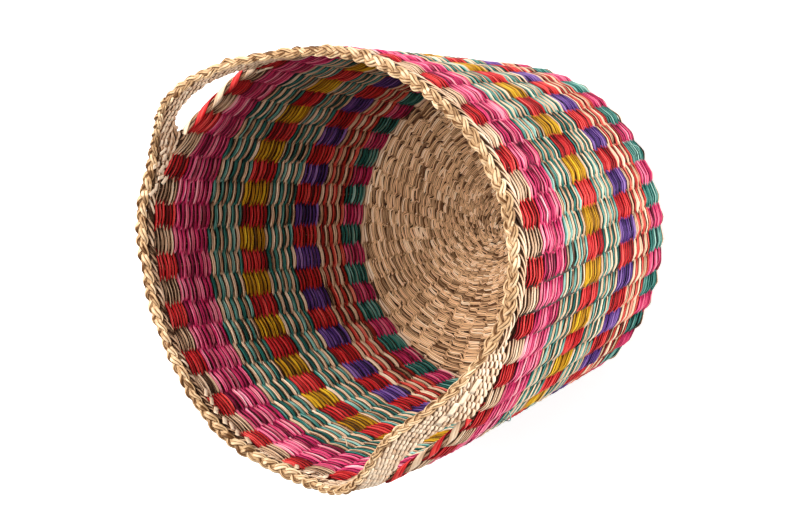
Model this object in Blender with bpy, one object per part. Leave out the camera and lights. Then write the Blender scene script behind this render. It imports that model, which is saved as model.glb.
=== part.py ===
"""A round woven storage basket with two hand loops.

Fifty stakes run out from the centre of the base, bend up at the edge and lean a
little as they climb.  Courses of coloured strand pass in front of one stake and
behind the next, and each course takes the opposite side of the stakes from the
course below it.  A border row of tucked ends closes the wall, two woven panels
rise from it as hand loops, and one plait runs round the rim and over both loops.

Metres, +Z up.  The basket stands on z = 0 with its axis on Z, and the hand loops
stand on the X axis.
"""

import math

import bmesh
import bpy
from mathutils import Vector

MM = 0.001
DEGREE = math.pi / 180
TURN = 2 * math.pi

# The wall, measured to the line of the stakes
BASE_RADIUS = 166 * MM
RIM_RADIUS = 187 * MM
WALL_BULGE = 0.6 * MM
BASE_OVAL = 5.2 * MM
OVAL_DIRECTION = 73 * DEGREE
RIM_OVAL = 2.1 * MM
RIM_SWELL = 3 * MM
SWELL_DIRECTION = 17 * DEGREE

# Stakes and strands
STAKE_COUNT = 50
STAKE_WIDTH = 4 * MM
STAKE_THICKNESS = 2 * MM
STAKE_LEAN = 7.7 * DEGREE
STAKE_SHIFT_SHARE = -0.3
STAKE_SPANS = 3
HUB_RADIUS = 36 * MM
BEND_RADIUS = 6 * MM
STRAND_THICKNESS = 2.4 * MM
STRAND_REACH = 3.2 * MM
CLEARANCE = 0.3 * MM

# The base
FOOT_WIDTH = 11 * MM
EDGE_ROW_REACH = 4.3 * MM
EDGE_ROW_HEIGHT = 10 * MM
EDGE_WAIST_SHARE = 0.35
BASE_ROW_DEPTH = 0.8 * MM
BASE_ROW_SHARES = (0.2, 0.4, 0.6, 0.8)

# Bands of the wall from the base up: name, height and the colours of its courses
BANDS = (
    ("h", 33.3 * MM, ("pink", "teal")),
    ("g", 45.3 * MM, ("salmon", "natural", "salmon")),
    ("f", 40.8 * MM, ("red", "purple")),
    ("e", 46.6 * MM, ("teal", "natural", "teal")),
    ("d", 39 * MM, ("red", "yellow")),
    ("c", 48.5 * MM, ("teal", "natural", "teal")),
    ("b", 48.3 * MM, ("pink", "rose", "pink")),
    ("a", 22.2 * MM, ("red", "natural")),
)

# The border row, the plait and the hand loops
BORDER_HEIGHT = 6.6 * MM
BORDER_TOOTH = 2.2 * MM
PLAIT_WIDTH = 9 * MM
PLAIT_HEIGHT = 11.5 * MM
PLAIT_SWELL = 1 * MM
PLAIT_FOOT_SHARE = 1 / 3
PLAIT_CROWN_SHARE = 1 / 4
LOOP_HALF_WIDTH = 152 * MM
HOLE_HALF_WIDTH = 50 * MM
PANEL_THICKNESS = 6.6 * MM
PANEL_RIB = 0.6 * MM
ROPE_HEIGHT = 5.7 * MM
ROPE_WIDTH = 9 * MM
ROPE_WRAP = 1 * MM

# A loop is its name, its direction from the axis, its rise over the rim, its lean inward
# and the height of its hand hole
LOOPS = (
    ("far", 0 * DEGREE, 50 * MM, 5 * DEGREE, 32 * MM),
    ("near", 180 * DEGREE, 52 * MM, 36 * DEGREE, 18 * MM),
)

COLOURS = {
    "natural": (0.72, 0.57, 0.35),
    "straw": (0.78, 0.62, 0.36),
    "tan": (0.50, 0.36, 0.21),
    "red": (0.62, 0.03, 0.04),
    "salmon": (0.72, 0.12, 0.10),
    "pink": (0.74, 0.08, 0.24),
    "rose": (0.78, 0.16, 0.34),
    "teal": (0.05, 0.32, 0.25),
    "yellow": (0.68, 0.44, 0.03),
    "purple": (0.15, 0.06, 0.32),
}
STRAW_ROUGHNESS = 0.6

WALL_TOP = EDGE_ROW_HEIGHT + sum(height for _, height, _ in BANDS)
BORDER_TOP = WALL_TOP + CLEARANCE + BORDER_HEIGHT
RIM_HEIGHT = BORDER_TOP + CLEARANCE + PLAIT_HEIGHT
SPOKE_LEVEL = STRAND_THICKNESS + CLEARANCE + STAKE_THICKNESS / 2
BEND_TOP = SPOKE_LEVEL + BEND_RADIUS
COLUMN = TURN / STAKE_COUNT
HALF_COLUMN_COUNT = 2 * STAKE_COUNT


def clear_scene():
    for item in list(bpy.data.objects):
        bpy.data.objects.remove(item)


def material(colour):
    made = bpy.data.materials.get(colour)
    if made is None:
        made = bpy.data.materials.new(colour)
        made.use_nodes = True
        shader = made.node_tree.nodes["Principled BSDF"]
        shader.inputs["Base Color"].default_value = (*COLOURS[colour], 1)
        shader.inputs["Roughness"].default_value = STRAW_ROUGHNESS
        shader.inputs["Metallic"].default_value = 0
    return made


def add_object(name, mesh_builder, colour):
    bmesh.ops.recalc_face_normals(mesh_builder, faces=mesh_builder.faces)
    mesh = bpy.data.meshes.new(name)
    mesh_builder.to_mesh(mesh)
    mesh_builder.free()
    mesh.materials.append(material(colour))
    made = bpy.data.objects.new(name, mesh)
    bpy.context.scene.collection.objects.link(made)
    return made


def join_rings(builder, first, second):
    """Faces between two loops of as many points."""
    count = len(first)
    for i in range(count):
        j = (i + 1) % count
        builder.faces.new((first[i], first[j], second[j], second[i]))


def add_sweep(name, sections, closed, colour):
    """One solid through a row of sections, closed on itself or capped at its ends."""
    builder = bmesh.new()
    rings = [[builder.verts.new(point) for point in section] for section in sections]
    for first, second in zip(rings, rings[1:]):
        join_rings(builder, first, second)
    if closed:
        join_rings(builder, rings[-1], rings[0])
    else:
        builder.faces.new(rings[0])
        builder.faces.new(rings[-1])
    return add_object(name, builder, colour)


def wall_radius(angle, height):
    """Distance from the axis to the line of the stakes."""
    share = height / RIM_HEIGHT
    taper = BASE_RADIUS + (RIM_RADIUS - BASE_RADIUS) * share
    bulge = WALL_BULGE * 4 * share * (1 - share)
    oval = BASE_OVAL * (1 - share) * math.cos(2 * (angle - OVAL_DIRECTION))
    oval += RIM_OVAL * share * math.cos(2 * angle)
    swell = RIM_SWELL * share * math.cos(3 * (angle - SWELL_DIRECTION))
    return taper + bulge + oval + swell


def around(loop_angle, angle):
    """Length along the rim from the middle of a loop."""
    turned = (angle - loop_angle + math.pi) % TURN - math.pi
    return turned * RIM_RADIUS


def arch_share(loop_angle, angle):
    """1 at the middle of a loop, 0 where it has sunk into the rim."""
    away = min(abs(around(loop_angle, angle)) / LOOP_HALF_WIDTH, 1)
    return (1 + math.cos(math.pi * away)) / 2


def rise(angle):
    return sum(loop_rise * arch_share(loop_angle, angle) for _, loop_angle, loop_rise, _, _ in LOOPS)


def lean(angle):
    return sum(loop_lean * arch_share(loop_angle, angle) for _, loop_angle, _, loop_lean, _ in LOOPS)


def place(angle, height, outward=0):
    """A point of the wall, of the rim above it, or of a loop that leans inward."""
    radius = wall_radius(angle, height) + outward
    above = max(height - WALL_TOP, 0)
    radius -= above * math.sin(lean(angle))
    level = min(height, WALL_TOP) + above * math.cos(lean(angle))
    return Vector((radius * math.cos(angle), radius * math.sin(angle), level))


def stake_angle(index, height):
    share = height / RIM_HEIGHT
    return (index + STAKE_SHIFT_SHARE) * COLUMN + STAKE_LEAN * (1 - share)


def foot_angle(index):
    return stake_angle(index, BEND_TOP)


def foot_radius(angle):
    """Distance from the axis to a stake where it has just bent up."""
    return wall_radius(angle, BEND_TOP)


def plait_underside(angle):
    return BORDER_TOP + CLEARANCE + rise(angle)


def hole_top(angle, loop_angle, hole_height):
    """Height of the hole's upper edge, or the wall's top beside the hole."""
    away = abs(around(loop_angle, angle)) / HOLE_HALF_WIDTH
    if away >= 1:
        return WALL_TOP + CLEARANCE
    return WALL_TOP + CLEARANCE + ROPE_HEIGHT + hole_height * math.sqrt(1 - away * away)


def stake_path(index):
    """Centre line of a stake as distance, angle and height, from the hub to its tip."""
    angle = foot_angle(index)
    bend = foot_radius(angle) - BEND_RADIUS
    path = [(HUB_RADIUS, angle, SPOKE_LEVEL, 0), (bend, angle, SPOKE_LEVEL, 0)]
    middle = bend + BEND_RADIUS * math.sin(math.pi / 4)
    corner = SPOKE_LEVEL + BEND_RADIUS * (1 - math.cos(math.pi / 4))
    path.append((middle, angle, corner, math.pi / 4))
    for step in range(STAKE_SPANS + 1):
        height = BEND_TOP + (WALL_TOP - BEND_TOP) * step / STAKE_SPANS
        climb = stake_angle(index, height)
        path.append((wall_radius(climb, height), climb, height, math.pi / 2))
    return path


def stake_section(distance, angle, height, pitch):
    """Four corners across a stake that climbs at the given pitch."""
    along = Vector((math.cos(angle), math.sin(angle), 0))
    side = Vector((-math.sin(angle), math.cos(angle), 0)) * STAKE_WIDTH / 2
    up = Vector((0, 0, 1))
    across = (up * math.cos(pitch) - along * math.sin(pitch)) * STAKE_THICKNESS / 2
    centre = along * distance + up * height
    return [centre - side - across, centre + side - across, centre + side + across, centre - side + across]


def add_stakes():
    """Fifty stakes as spokes of one hub, bent up at the edge of the base."""
    builder = bmesh.new()
    roots = []
    for index in range(STAKE_COUNT):
        rings = []
        for step in stake_path(index):
            rings.append([builder.verts.new(point) for point in stake_section(*step)])
        for first, second in zip(rings, rings[1:]):
            join_rings(builder, first, second)
        builder.faces.new(rings[-1])
        roots.append(rings[0])
    for root, follower in zip(roots, roots[1:] + roots[:1]):
        builder.faces.new((root[1], follower[0], follower[3], root[2]))
    builder.faces.new([corner for root in roots for corner in (root[0], root[1])])
    builder.faces.new([corner for root in roots for corner in (root[3], root[2])])
    add_object("stake_frame", builder, "natural")


def add_course(name, low, high, phase, colour):
    """A strand that passes in front of one stake and behind the next."""
    sections = []
    for index in range(STAKE_COUNT):
        side = 1 if (index + phase) % 2 == 0 else -1
        near = side * STRAND_REACH - STRAND_THICKNESS / 2
        far = side * STRAND_REACH + STRAND_THICKNESS / 2
        bottom = stake_angle(index, low)
        top = stake_angle(index, high)
        sections.append([
            place(bottom, low, near),
            place(bottom, low, far),
            place(top, high, far),
            place(top, high, near),
        ])
    add_sweep(name, sections, True, colour)


def add_wall():
    low = EDGE_ROW_HEIGHT
    order = 0
    for band, height, colours in BANDS:
        course = height / len(colours)
        for number, colour in enumerate(colours, 1):
            name = f"weft_{band}{number}_{colour}"
            add_course(name, low, low + course - CLEARANCE, order + 1, colour)
            low += course
            order += 1


def disc_outline(angle, reach, level, outer_side):
    """Rows of the base from its flat middle to its edge, ridged on one side."""
    face = level + outer_side * STRAND_THICKNESS
    groove = face - outer_side * BASE_ROW_DEPTH
    radius = foot_radius(angle) - reach
    points = []
    for number, share in enumerate(BASE_ROW_SHARES):
        points.append((radius * share, groove if number % 2 else face))
    return points + [(radius, face), (radius, level)]


def add_disc(name, reach, level, outer_side, colour):
    builder = bmesh.new()
    rings = []
    for index in range(STAKE_COUNT):
        angle = foot_angle(index)
        rings.append([
            builder.verts.new((radius * math.cos(angle), radius * math.sin(angle), height))
            for radius, height in disc_outline(angle, reach, level, outer_side)
        ])
    for ring, follower in zip(rings, rings[1:] + rings[:1]):
        for step in range(len(ring) - 1):
            builder.faces.new((ring[step], ring[step + 1], follower[step + 1], follower[step]))
    builder.faces.new([ring[0] for ring in rings])
    builder.faces.new([ring[-1] for ring in rings])
    add_object(name, builder, colour)


def add_base():
    edge_inside = BEND_RADIUS + FOOT_WIDTH - STAKE_THICKNESS / 2
    under = SPOKE_LEVEL - STAKE_THICKNESS / 2 - CLEARANCE
    over = SPOKE_LEVEL + STAKE_THICKNESS / 2 + CLEARANCE
    add_disc("base_weave_outside", edge_inside + CLEARANCE, under, -1, "tan")
    add_disc("base_weave_inside", BEND_RADIUS, over, 1, "tan")
    add_edge_row(edge_inside, under)


def add_edge_row(edge_inside, under):
    """The row that wraps the corner outside the bent stakes, with the flat foot."""
    outside = BEND_RADIUS + STAKE_THICKNESS / 2 + CLEARANCE
    top = EDGE_ROW_HEIGHT - CLEARANCE
    sections = []
    for index in range(STAKE_COUNT):
        angle = foot_angle(index)
        wall = foot_radius(angle)
        centre = wall - BEND_RADIUS
        slant = outside * math.sin(math.pi / 4)
        last = math.sqrt(outside ** 2 - (BEND_TOP - top) ** 2)
        outline = (
            (wall - edge_inside, 0),
            (centre + STAKE_THICKNESS, 0),
            (wall + EDGE_ROW_REACH / 2, EDGE_ROW_HEIGHT * EDGE_WAIST_SHARE),
            (wall + EDGE_ROW_REACH, top),
            (centre + last, top),
            (centre + slant, BEND_TOP - slant),
            (centre, under),
            (wall - edge_inside, under),
        )
        sections.append([(r * math.cos(angle), r * math.sin(angle), z) for r, z in outline])
    add_sweep("base_edge_row", sections, True, "natural")


def angles_between(start, end, step):
    count = max(round((end - start) / step), 2)
    return [start + (end - start) * i / count for i in range(count + 1)]


def add_borders():
    """Rows of tucked ends on the wall's top, between one loop and the other."""
    half = LOOP_HALF_WIDTH / RIM_RADIUS + CLEARANCE / RIM_RADIUS
    low = WALL_TOP + CLEARANCE
    outside = STRAND_REACH + STRAND_THICKNESS / 2
    for name, start in (("back", 0), ("front", math.pi)):
        sections = []
        for number, angle in enumerate(angles_between(start + half, start + math.pi - half, COLUMN / 2)):
            inside = -outside - (BORDER_TOOTH if number % 2 else 0)
            sections.append([
                place(angle, low, -outside),
                place(angle, low, outside),
                place(angle, BORDER_TOP, outside),
                place(angle, BORDER_TOP, inside),
            ])
        add_sweep(f"tucked_border_{name}", sections, False, "natural")


def add_plait():
    """The plait that runs round the rim and over both loops."""
    sections = []
    for number in range(HALF_COLUMN_COUNT):
        angle = number * TURN / HALF_COLUMN_COUNT
        under = plait_underside(angle)
        swell = PLAIT_SWELL if number % 2 else 0
        foot = PLAIT_WIDTH * PLAIT_FOOT_SHARE
        half = PLAIT_WIDTH / 2 + swell
        crown = PLAIT_WIDTH * PLAIT_CROWN_SHARE
        middle = under + PLAIT_HEIGHT / 2
        top = under + PLAIT_HEIGHT - PLAIT_SWELL + swell
        sections.append([
            place(angle, under, -foot),
            place(angle, under, foot),
            place(angle, middle, half),
            place(angle, top, crown),
            place(angle, top, -crown),
            place(angle, middle, -half),
        ])
    add_sweep("rim_plait", sections, True, "straw")


def add_loop_panel(name, loop_angle, hole_height):
    """The woven panel of a loop: wide at its feet, narrow over the hand hole."""
    half = LOOP_HALF_WIDTH / RIM_RADIUS
    hole = HOLE_HALF_WIDTH / RIM_RADIUS
    inner = (HOLE_HALF_WIDTH - CLEARANCE) / RIM_RADIUS
    step = COLUMN / 2
    foot = angles_between(loop_angle - half, loop_angle - hole, step)
    over = angles_between(loop_angle - inner, loop_angle + inner, step)
    other = angles_between(loop_angle + hole, loop_angle + half, step)
    sections = []
    for number, angle in enumerate(foot + over + other):
        rib = PANEL_RIB if number % 2 else 0
        side = PANEL_THICKNESS / 2 - rib
        low = hole_top(angle, loop_angle, hole_height)
        high = plait_underside(angle) - CLEARANCE
        sections.append([
            place(angle, low, -side),
            place(angle, low, side),
            place(angle, high, side),
            place(angle, high, -side),
        ])
    add_sweep(f"loop_panel_{name}", sections, False, "natural")


def add_rope(name, loop_angle):
    """The wrapped edge of the wall under a hand hole."""
    half = (HOLE_HALF_WIDTH - CLEARANCE - ROPE_WRAP) / RIM_RADIUS
    sections = []
    low = WALL_TOP + CLEARANCE
    for number, angle in enumerate(angles_between(loop_angle - half, loop_angle + half, COLUMN / 4)):
        wrap = ROPE_WRAP if number % 4 < 2 else 0
        side = ROPE_WIDTH / 2 - ROPE_WRAP + wrap
        top = low + ROPE_HEIGHT - ROPE_WRAP + wrap
        sections.append([
            place(angle, low, -side),
            place(angle, low, side),
            place(angle, top, side / 2),
            place(angle, top, -side / 2),
        ])
    add_sweep(f"hole_rope_{name}", sections, False, "salmon")


def build():
    clear_scene()
    add_stakes()
    add_base()
    add_wall()
    add_borders()
    add_plait()
    for name, loop_angle, _, _, hole_height in LOOPS:
        add_loop_panel(name, loop_angle, hole_height)
        add_rope(name, loop_angle)


build()
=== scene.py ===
"""The looks of a round woven storage basket with two hand loops.

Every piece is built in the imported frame: metres, +Z up, with the basket's axis
on Z and the hand loops on the X axis.  The wall is woven row by row: each row is
a pair of straws that pass in front of one stake and behind the next.
"""

import math
from collections import namedtuple

import bpy
import numpy as np
from mathutils import Matrix, Vector


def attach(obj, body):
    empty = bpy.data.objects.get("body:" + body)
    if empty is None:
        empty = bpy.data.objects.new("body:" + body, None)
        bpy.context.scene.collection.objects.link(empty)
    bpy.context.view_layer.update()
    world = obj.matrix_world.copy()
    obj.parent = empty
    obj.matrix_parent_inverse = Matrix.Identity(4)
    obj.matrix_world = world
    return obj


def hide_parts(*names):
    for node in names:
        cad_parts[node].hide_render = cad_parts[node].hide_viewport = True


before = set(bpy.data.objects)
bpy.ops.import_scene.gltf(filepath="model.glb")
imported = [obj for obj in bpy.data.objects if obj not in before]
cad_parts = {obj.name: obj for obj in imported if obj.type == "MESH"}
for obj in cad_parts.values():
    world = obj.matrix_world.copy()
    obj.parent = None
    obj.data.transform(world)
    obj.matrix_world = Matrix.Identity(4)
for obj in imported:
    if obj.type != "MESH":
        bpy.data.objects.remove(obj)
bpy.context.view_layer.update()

MM = 0.001
DEGREE = math.pi / 180
TURN = 2 * math.pi

# The form of the wall and the rim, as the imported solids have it
BASE_RADIUS = 166 * MM
RIM_RADIUS = 187 * MM
WALL_BULGE = 0.6 * MM
BASE_OVAL = 5.2 * MM
OVAL_DIRECTION = 73 * DEGREE
RIM_OVAL = 2.1 * MM
RIM_SWELL = 3 * MM
SWELL_DIRECTION = 17 * DEGREE
RIM_HEIGHT = 353 * MM
WALL_TOP = 334 * MM
BORDER_TOP = 341 * MM
STAKE_COUNT = 50
STAKE_LEAN = 7.7 * DEGREE
STAKE_SHIFT = -0.3
SPOKE_LEVEL = 3.7 * MM
BEND_RADIUS = 6 * MM
BEND_TOP = 10 * MM
COLUMN = TURN / STAKE_COUNT

# A hand loop: its direction, its rise over the rim, how far it leans inward, how far it
# reaches along the rim to either side and how pointed it is.  Then its hand hole: the
# direction, half the width and the height of the hole, and the level of the wraps below.
Loop = namedtuple("Loop", "name at rise lean before after peak hole_at hole_half hole_height wrap_level")
LOOPS = (
    Loop(
        name="far", at=0, rise=50 * MM, lean=5 * DEGREE, before=152 * MM, after=100 * MM, peak=1,
        hole_at=2 * DEGREE, hole_half=45 * MM, hole_height=29 * MM, wrap_level=2.4 * MM,
    ),
    Loop(
        name="near", at=math.pi, rise=46 * MM, lean=24 * DEGREE, before=152 * MM, after=152 * MM, peak=0.7,
        hole_at=177 * DEGREE, hole_half=50 * MM, hole_height=17 * MM, wrap_level=4 * MM,
    ),
)
LOOP_FOOT_RATE = 3
LEAN_START = 6 * MM
ROPE_HEIGHT = 6 * MM
HOLE_ARCH_POWER = 0.6

# The worn basket is out of round.  Dents: direction, spread, push at the base and
# at the rim.  Curls of the rim: direction, spread, inward shift.  Sags of the rim:
# direction, spread, lift.  Dips of the wall's top under a hand hole: direction,
# spread, drop.
DENTS = (
    (-40 * DEGREE, 26 * DEGREE, 6 * MM, 4.5 * MM),
    (0 * DEGREE, 26 * DEGREE, 4 * MM, 2 * MM),
    (-115 * DEGREE, 24 * DEGREE, 1 * MM, 7 * MM),
    (-150 * DEGREE, 24 * DEGREE, 1 * MM, -6 * MM),
    (90 * DEGREE, 40 * DEGREE, -2 * MM, 4 * MM),
    (165 * DEGREE, 30 * DEGREE, -4 * MM, -3.5 * MM),
    (-168 * DEGREE, 18 * DEGREE, 5 * MM, 3 * MM),
    (-72 * DEGREE, 26 * DEGREE, 4 * MM, 2.5 * MM),
)
CURLS = (
    (-125 * DEGREE, 34 * DEGREE, 12 * MM),
    (-65 * DEGREE, 22 * DEGREE, 4 * MM),
    (40 * DEGREE, 22 * DEGREE, -7 * MM),
    (108 * DEGREE, 9 * DEGREE, -2 * MM),
    (127 * DEGREE, 14 * DEGREE, 3 * MM),
    (88 * DEGREE, 10 * DEGREE, 1.5 * MM),
    (177 * DEGREE, 22 * DEGREE, 8 * MM),
    (158 * DEGREE, 13 * DEGREE, -7 * MM),
    (-28 * DEGREE, 12 * DEGREE, 3 * MM),
)
CURL_START = 305 * MM
CURL_POWER = 1.5
SAGS = (
    (128 * DEGREE, 30 * DEGREE, -7 * MM),
    (33 * DEGREE, 17 * DEGREE, 7 * MM),
    (-114 * DEGREE, 26 * DEGREE, 3 * MM),
)
SAG_POWER = 3
DIPS = ((4 * DEGREE, 15 * DEGREE, 14 * MM), (178 * DEGREE, 20 * DEGREE, -4 * MM))
DIP_START = 268 * MM
DIP_END = 312 * MM
DIP_FADE = 8 * MM

# The course of one float: places along it, how far it stands out there on either side
# of the wall, and how far it is shifted up or down
FLOAT_SHARES = np.array((0, 0.1, 0.22, 0.35, 0.5, 0.66, 0.82, 0.93))
OUTSIDE_HUMPS = np.array((0, 0.46, 0.82, 1, 0.86, 0.62, 0.36, 0.16))
INSIDE_HUMPS = np.array((0, 0.44, 0.74, 0.93, 1, 0.9, 0.6, 0.28))
SLANTS = np.array((0, 0.4, 0.3, 0.15, 0, -0.16, -0.34, -0.3))
STEPS = len(FLOAT_SHARES)

# A weave: the pitch of its rows, how far floats stand out on either side, half their
# thickness where they show and where they dive, how much their ends and levels stray,
# their slant, the spread of their tones, their half width as a share of the pitch, and
# how much painted shade darkens the floats that lie inside the wall.  The rows of the wall take their
# pitch from the band.
Weave = namedtuple("Weave", "pitch outside inside thin thick jitter slip slant spread fill shade")
WALL_WEAVE = Weave(
    pitch=None, outside=2.7 * MM, inside=2.4 * MM, thin=0.95 * MM, thick=1.5 * MM,
    jitter=0.05, slip=0.08, slant=0.5, spread=0.15, fill=0.67, shade=0,
)
BASE_WEAVE = Weave(
    pitch=1.82 * MM, outside=1.7 * MM, inside=1.7 * MM, thin=0.8 * MM, thick=1.2 * MM,
    jitter=0.1, slip=0.14, slant=2, spread=0.17, fill=0.86, shade=0,
)
BEND_WEAVE = BASE_WEAVE._replace(pitch=3.15 * MM, jitter=0.05, slant=0.5)

# What is drawn for each float of a row
Floats = namedtuple("Floats", "reach slip slant width turn tone contrast")

# How floats vary around their weave, their tones, and the painted shade where they dive
REACH_RANGE = (0.86, 1.14)
WIDTH_RANGE = (0.94, 1.06)
SLANT_SPREAD = 0.35
TURN_SPREAD = 0.16
FLOAT_TONE = 0.54
PAIR_SPREAD = 1.4
WIDENING_RATE = 1.6
SLIP_RATE = 1.5
DIVE_NARROWING = 0.16
# painted shade where a float dives behind a stake
DIVE_PAINTED_SHADE = 0.2

# Band a at the top of the wall is woven finer, reaches higher beside the loops and
# gets painted shade where its undyed straw shows inside, for the shadow under the rim
TOP_BAND = "a"
TOP_BAND_STRAW = {"pitch": 2.05 * MM, "thin": 0.8 * MM, "thick": 1.1 * MM}
TOP_BAND_RISE = 2.5 * MM
TOP_BAND_SHADE = 0.22

# The base: its rows, the share of its radius where the outer piece starts, the columns of
# the rows out to a share of its radius, and the rows round its bend as their turn and how
# far they stand out
BASE_ROWS = 90
BASE_MIDDLE = 0.5
BASE_COLUMNS = ((0.09, 12), (0.2, 24), (1, STAKE_COUNT))
BENDS = ((18 * DEGREE, 2.5 * MM), (50 * DEGREE, 3.2 * MM), (68 * DEGREE, 3.4 * MM))
HUB_TURNS = 2.6
HUB_POINTS = 40
HUB_START = 0.4 * MM
HUB_PITCH = 1.7 * MM
HUB_HALF_WIDTH = 1.5 * MM
HUB_THICKNESS = 1.6 * MM
HUB_TONE = 0.45

# The stakes, dark as painted shade in the gaps, and the dark sheet of painted shade between them
SPOKE_START = 3 * MM
SPOKE_POINTS = 8
SPOKE_WIDENING = 0.05
SPOKE_HALF_WIDTH = 2 * MM
BEND_POINTS = 6
STAKE_POINTS = 14
STAKE_HALF_WIDTH = 5.5 * MM
STAKE_THICKNESS = 1.3 * MM
# the stakes are real, but their tones sit at the dark end as painted shade in the gaps of the weave
STAKE_SHADE_TONES = (-0.1, 0.06)
STAKE_OVER_WALL = 1 * MM
# the sheet between the stakes is painted shade: a dark layer that shows through the gaps of the weave
SHADE_SHEET_SHARE = 0.53
SHADE_SHEET_THICKNESS = 0.25 * MM
SHADE_SHEET_TONE = -0.5

# The braid of the rim: its gap to the panels and its level, the length of its pattern,
# its size on the loops and what it gains beside them, and the straw at its core
PLAIT_GAP = 0.5 * MM
PLAIT_LEVEL = 6.2 * MM
PLAIT_PERIOD = 36.5 * MM
PLAIT_STEPS = 28
PLAIT_SAMPLES = 3001
PLAIT_SIZE = 0.78
PLAIT_GAIN = 0.28
CORE_HALF_WIDTH = 3.4 * MM
CORE_THICKNESS = 1.6 * MM
CORE_TONE = 0.34

# Its strands: their number, swing to the sides and up, wander between knots, roll and
# twist, their form, and how their lobes vary
STRANDS = 3
STRAND_SWING = 3.6 * MM
STRAND_RISE = 1.7 * MM
STRAND_WANDER = 0.75 * MM
STRAND_KNOTS = 180
STRAND_ROLL = 0.9
STRAND_TWIST = 0.35
STRAND_HALF_WIDTH = 2.2 * MM
STRAND_BULGE = 0.7 * MM
STRAND_THICKNESS = 1.4 * MM
LOBE_START = 0.25
LOBE_WIDTHS = (0.78, 1.24)
LOBE_TONE = 0.5
LOBE_TONE_SPREAD = 0.2
LOBE_TONE_LIMITS = (0.02, 1)

# A short straw that dives in at both ends: where along its dive it starts and ends, how
# sharply it dives, its width there and the painted shade that darkens it where it dives in
LEAF_ENDS = (0.03, 0.97)
LEAF_POWER = 0.4
LEAF_TIP = 0.45
# painted shade where a leaf dives in
LEAF_PAINTED_SHADE = 0.3
LEAF_THICKNESS = 0.8 * MM

# The panels of the loops: their short slanted straws, and how these vary
PANEL_TOP = 1 * MM
PANEL_PITCH = 2.5 * MM
PANEL_ROWS = 23
PANEL_CELL = COLUMN / 3.3
PANEL_REACHES = (0.52, 0.6)
PANEL_SHARES = np.linspace(-1, 1, 9)
PANEL_STRAY = 0.05
PANEL_ROW_STRAY = 0.1
PANEL_SLANT = 17 * DEGREE
PANEL_SLANT_SPREAD = 5 * DEGREE
PANEL_TONE = 0.76
PANEL_TONE_SPREAD = 0.13
PANEL_TONE_LIMITS = (0.3, 1)
PANEL_LEVELS = (1.9, 2.4)
PANEL_HALF_WIDTHS = (1.9, 2.3)
PANEL_CLEARANCE = 0.6 * MM

# The dark layer inside a panel
SHORTEST_RUN = 8
LAYER_ROWS = 20
LAYER_PITCH = 1.4 * PANEL_PITCH
LAYER_TOP = 2 * MM
LAYER_CLEARANCE = 2 * MM
LAYER_HALF_WIDTH = 2.2 * MM
LAYER_THICKNESS = 1.3 * MM
LAYER_TONE = 0.3

# The cord round the upper edge of a hand hole: the stretch of the arch that it covers,
# its distance from the hole, and its form and waves
CORD_POINTS = 70
CORD_STRETCH = np.linspace(0.09, 0.91, CORD_POINTS)
CORD_ASIDE = 0.6 * MM
CORD_ABOVE = 0.8 * MM
CORD_STEEPNESS = 4
CORD_ARCH_POWER = 1.2
CORD_HALF_WIDTH = 1.9 * MM
CORD_THICKNESS = 1.3 * MM
CORD_WAVES = np.sin(np.arange(CORD_POINTS) * 1.3)
CORD_WAVE = 0.7 * MM
CORD_TONE = 0.45
CORD_TONE_WAVE = 0.2

# The wraps along a hand hole's lower edge: how far they reach past it, their steps, how
# far apart they wind, and their swing out of the wall and up
WRAP_PAST_HOLE = 4 * MM
WRAP_POINTS = 110
WRAP_PHASE = 0.5
WRAP_SWING = 3.2 * MM
WRAP_RISE = 3 * MM
WRAP_HALF_WIDTH = 1.7 * MM
WRAP_THICKNESS = 0.9 * MM
WRAP_TONES = (0.5, 0.7, 0.6)
WRAP_CORE_HALF_WIDTH = 2.6 * MM
WRAP_CORE_THICKNESS = 1.6 * MM
WRAP_CORE_TONE = 0.4

# The ends of the stakes, folded over under the rim.  Each has its face of the basket, the
# span of its reach in columns, of its drop in millimetres, its tone and that one's spread
# and limits, its level over the wall and its half width in millimetres.
FoldedEnd = namedtuple("FoldedEnd", "facing reaches drops tone spread limits level half_widths")
OUTER_END = FoldedEnd(1, (0.7, 1.0), (6.5, 8.5), 0.5, 0.22, (0.05, 1), 3.4, (1.4, 1.9))
INNER_END = FoldedEnd(-1, (0.3, 0.6), (4, 8), 0.4, 0.2, (0.1, 0.9), (2.6, 3.8), (1.1, 1.7))
ENDS_PER_STAKE = 3
END_SHARES = np.linspace(0, 1, 11)
END_TOP = 342.5
PLAIN_RIM = 0.4

# The closed strap that the folded ends lie on
STRAP_POINTS = 400
STRAP_DROP = 3 * MM
STRAP_HALF_WIDTH = 5.5 * MM
STRAP_THICKNESS = 1 * MM
STRAP_TONE = 0.2

# Cut ends of straw that show inside: upright stubs under the rim beside the near loop,
# and loose ones by the far loop.  Folds: strips over the near loop.  All of them have
# their direction in degrees, height and level over the weave in millimetres, and turn.
STUBS = (
    (95, 336, 5, 45), (98, 337, 5.5, 38), (101, 339, 5, 50), (105, 339, 5, 42), (107.5, 338, 5.5, 36),
    (110, 339, 5, 48), (114, 339, 5.4, 30), (131, 338, 5, 60), (136, 339, 5, 100), (141, 339, 5, 70),
)
CUT_ENDS = (
    (22, 350, 5, 40), (24, 346, 5.5, -20), (26.5, 349, 5, 65), (27.5, 342, 5, 15), (30, 340, 5.5, 75),
    (31, 334, 5, 30), (33, 341, 5, -10), (34.5, 344, 5.5, 50), (-13, 333, 5, 20), (-15.5, 330, 5, 60),
)
FOLDS = ((-168, 367, 3.4, 0), (-163.8, 365, 3.9, 4), (-159.6, 361, 3.4, -3), (-155.4, 356, 3.9, -8))
STUB_HALF_LENGTH = 4.8 * MM
STUB_HALF_WIDTHS = (2.2, 2.8)
STUB_TONE = 0.78
CUT_END_HALF_LENGTH = 3.8 * MM
CUT_END_HALF_WIDTHS = (2.4, 3.4)
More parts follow.
